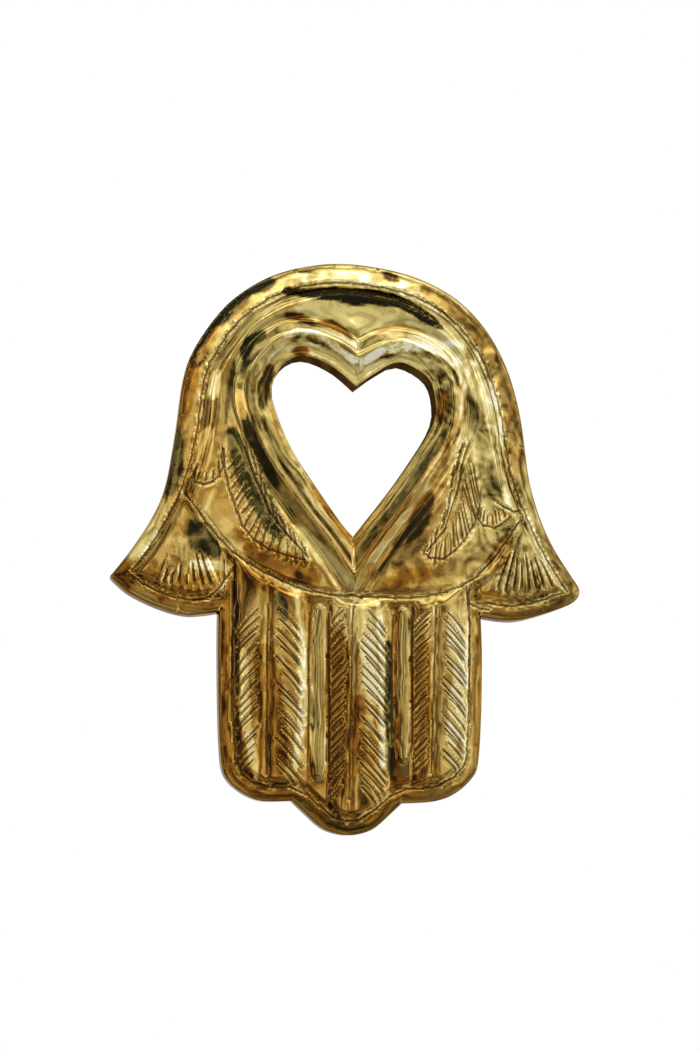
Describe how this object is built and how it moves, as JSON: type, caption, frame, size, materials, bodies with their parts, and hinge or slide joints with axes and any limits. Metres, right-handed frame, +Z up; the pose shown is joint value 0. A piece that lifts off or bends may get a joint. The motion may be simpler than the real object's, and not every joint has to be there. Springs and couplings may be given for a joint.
{
  "type": "hamsa hand wall ornament",
  "caption": "Open-hearted hamsa hand for a wall: chased brass sheet wrapped over a stained wooden board, with a swinging ring hanger behind.",
  "frame": {"origin": "middle of the hanging ring's axis, behind the board and under the top of the dome", "axes": "+Z up, fingers pointing down; the chased front faces -Y and the wall is on +Y; X runs across the thumbs"},
  "size_m": [0.219, 0.0222, 0.2675],
  "materials": {
    "chased_brass": "polished hand-hammered brass with darker tarnish in the chased lines",
    "stained_wood": "dark brown stained softwood, matt",
    "tack_brass": "dull brass-plated tack heads",
    "strap_steel": "zinc-plated steel strip",
    "ring_steel": "zinc-plated steel wire",
    "screw_steel": "yellow-passivated steel"
  },
  "bodies": {
    "ornament": {"brass_face": "chased_brass", "backing_board": "stained_wood", "rim_tacks": "tack_brass", "hanger_strap": "strap_steel", "hanger_screws": "screw_steel"},
    "ring": {"hanger_ring": "ring_steel"}
  },
  "joints": [
    {"name": "ring_swing", "type": "hinge", "parent": "ornament", "child": "ring", "pos_m": [0, 0, 0], "axis": [1, 0, 0], "range_deg": [0, 180]}
  ]
}
